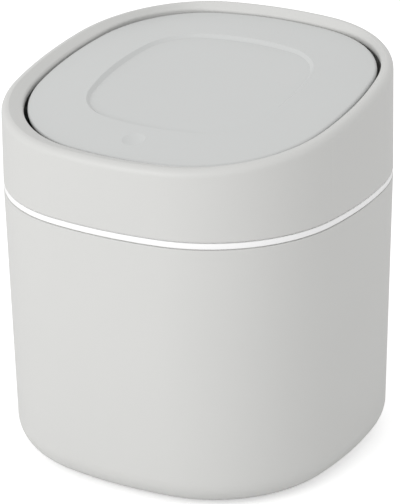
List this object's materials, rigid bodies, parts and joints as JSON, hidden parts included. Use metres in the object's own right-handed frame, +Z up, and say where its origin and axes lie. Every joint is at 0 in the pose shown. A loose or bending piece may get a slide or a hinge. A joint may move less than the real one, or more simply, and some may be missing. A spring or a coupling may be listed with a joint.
{
  "type": "desktop trash can",
  "caption": "Small counter-top bin: rounded-square body, white bag ring, sloping head and an inset crowned press lid on a sprung back hinge with a push latch.",
  "frame": {"origin": "middle of the base, on the surface that the feet stand on", "axes": "+Z up, -Y towards the low front edge of the rim, where the lid is pressed, +X to the right seen from the front"},
  "size_m": [0.155, 0.154, 0.1716],
  "materials": {
    "body_plastic": "fine satin, pale warm grey",
    "ring_plastic": "satin white",
    "lid_plastic": "satin, pale cool grey",
    "liner_plastic": "plain moulded",
    "latch_plastic": "plain moulded, slippery",
    "pin_steel": "ground",
    "screw_steel": "zinc plated",
    "spring_steel": "drawn wire",
    "foot_rubber": "soft matte"
  },
  "bodies": {
    "bin": {"bin_body": "body_plastic", "foot_front_left": "foot_rubber", "foot_front_right": "foot_rubber", "foot_back_left": "foot_rubber", "foot_back_right": "foot_rubber"},
    "ring": {"bag_ring": "ring_plastic"},
    "head": {"head_cover": "body_plastic", "hinge_bracket": "liner_plastic", "bracket_screws": "screw_steel", "latch_housing": "latch_plastic", "latch_spring": "spring_steel", "latch_cam_wire": "spring_steel", "latch_screws": "screw_steel"},
    "pivot": {"hinge_pin": "pin_steel", "pin_clips": "pin_steel", "hinge_spring_left": "spring_steel", "hinge_spring_right": "spring_steel"},
    "lid": {"lid_panel": "lid_plastic", "lid_liner": "liner_plastic", "lid_screws": "screw_steel", "lid_striker": "pin_steel", "striker_screws": "screw_steel"},
    "plunger": {"latch_plunger": "latch_plastic", "latch_jaw_left": "latch_plastic", "latch_jaw_right": "latch_plastic"}
  },
  "joints": [
    {"name": "ring_lift", "type": "slide", "parent": "bin", "child": "ring", "axis": [0, 0, 1], "range_m": [0, 0.08]},
    {"name": "head_lift", "type": "slide", "parent": "ring", "child": "head", "axis": [0, 0, 1], "range_m": [0, 0.06]},
    {"name": "lid_press", "type": "hinge", "parent": "head", "child": "pivot", "pos_m": [0, 0.04456, 0.15993], "axis": [-1, 0, 0], "range_deg": [-1.8, 0], "stiffness_Nm_per_rad": 2, "springref_deg": 2.86},
    {"name": "lid_open", "type": "hinge", "parent": "pivot", "child": "lid", "pos_m": [0, 0.04456, 0.15993], "axis": [-1, 0, 0], "range_deg": [0, 50], "deforming": ["hinge_spring_left", "hinge_spring_right", "latch_jaw_left", "latch_jaw_right"]},
    {"name": "latch_slide", "type": "slide", "parent": "head", "child": "plunger", "axis": [0, -0.1478, 0.989], "range_m": [-0.0031, 0], "deforming": ["latch_spring"]}
  ],
  "couplings": [
    {"joint": "latch_slide", "follows": "lid_press", "m_per_rad": 0.0936}
  ]
}
